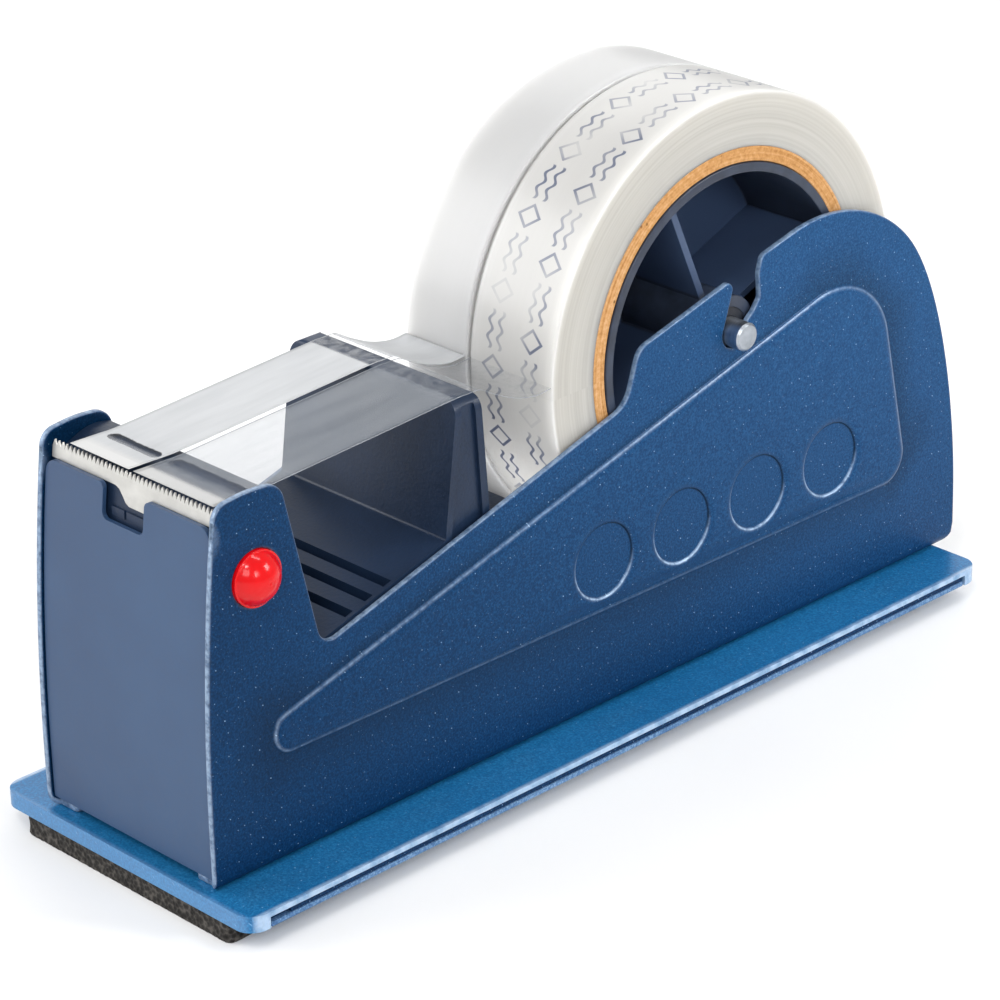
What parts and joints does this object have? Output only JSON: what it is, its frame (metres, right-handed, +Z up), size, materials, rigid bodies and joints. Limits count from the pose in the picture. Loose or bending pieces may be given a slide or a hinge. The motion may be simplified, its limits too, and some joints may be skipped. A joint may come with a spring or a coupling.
{
  "type": "multi-roll tape dispenser",
  "caption": "Weighted counter-top dispenser with folded metal sides, a slotted axle that carries adhesive tape rolls, a guide tower, a toothed cutter and red side push buttons.",
  "frame": {"origin": "centre of the overall length and width, on the surface the object stands on", "axes": "+X to the right seen from the cutter end, +Y towards the rear, +Z up; the cutter end faces -Y"},
  "size_m": [0.082, 0.2328, 0.1398],
  "materials": {
    "blue_paint": "fine hammered powder coat with light metallic specks",
    "dark_blue_paint": "powder coat",
    "pale_blue_paint": "powder coat",
    "foam": "open-cell foam rubber",
    "zinc_steel": "zinc plated",
    "grey_blue_plastic": "smooth satin",
    "slate_plastic": "fine moulded grain",
    "blade_steel": "bright",
    "red_plastic": "gloss",
    "axle_steel": "zinc plated",
    "hub_plastic": "semi gloss",
    "bush_plastic": "satin",
    "core_board": "wound paper board",
    "clear_tape": "wound clear film, translucent",
    "frosted_tape": "wound frosted film, translucent",
    "clear_strip": "clear film",
    "frosted_strip": "frosted film"
  },
  "bodies": {
    "stand": {"base_cover": "blue_paint", "ballast_plate": "dark_blue_paint", "bottom_sheet": "pale_blue_paint", "foam_pad": "foam", "base_screws": "zinc_steel", "base_nuts": "zinc_steel", "frame_channel": "blue_paint", "front_panel": "grey_blue_plastic", "guide_insert": "slate_plastic", "insert_screws": "zinc_steel", "cutter_blade": "blade_steel", "button_springs": "zinc_steel"},
    "axle_set": {"axle": "axle_steel", "axle_rings": "zinc_steel", "tape_web_wide": "clear_strip", "tape_web_narrow": "frosted_strip"},
    "spool": {"hub": "hub_plastic", "hub_spider": "hub_plastic", "hub_bushes": "bush_plastic", "core_wide": "core_board", "core_narrow": "core_board", "tape_roll_wide": "clear_tape", "tape_roll_narrow": "frosted_tape"},
    "right_button": {"button_right": "red_plastic"},
    "left_button": {"button_left": "red_plastic"}
  },
  "joints": [
    {"name": "roll_lift", "type": "slide", "parent": "stand", "child": "axle_set", "axis": [0, 0.3256, 0.9455], "range_m": [0, 0.095]},
    {"name": "hub_spin", "type": "hinge", "parent": "axle_set", "child": "spool", "pos_m": [0, 0.04025, 0.0858], "axis": [1, 0, 0], "continuous": true},
    {"name": "right_button_press", "type": "slide", "parent": "stand", "child": "right_button", "axis": [-1, 0, 0], "range_m": [0, 0.0025], "stiffness_N_per_m": 400},
    {"name": "left_button_press", "type": "slide", "parent": "stand", "child": "left_button", "axis": [1, 0, 0], "range_m": [0, 0.0025], "stiffness_N_per_m": 400}
  ]
}
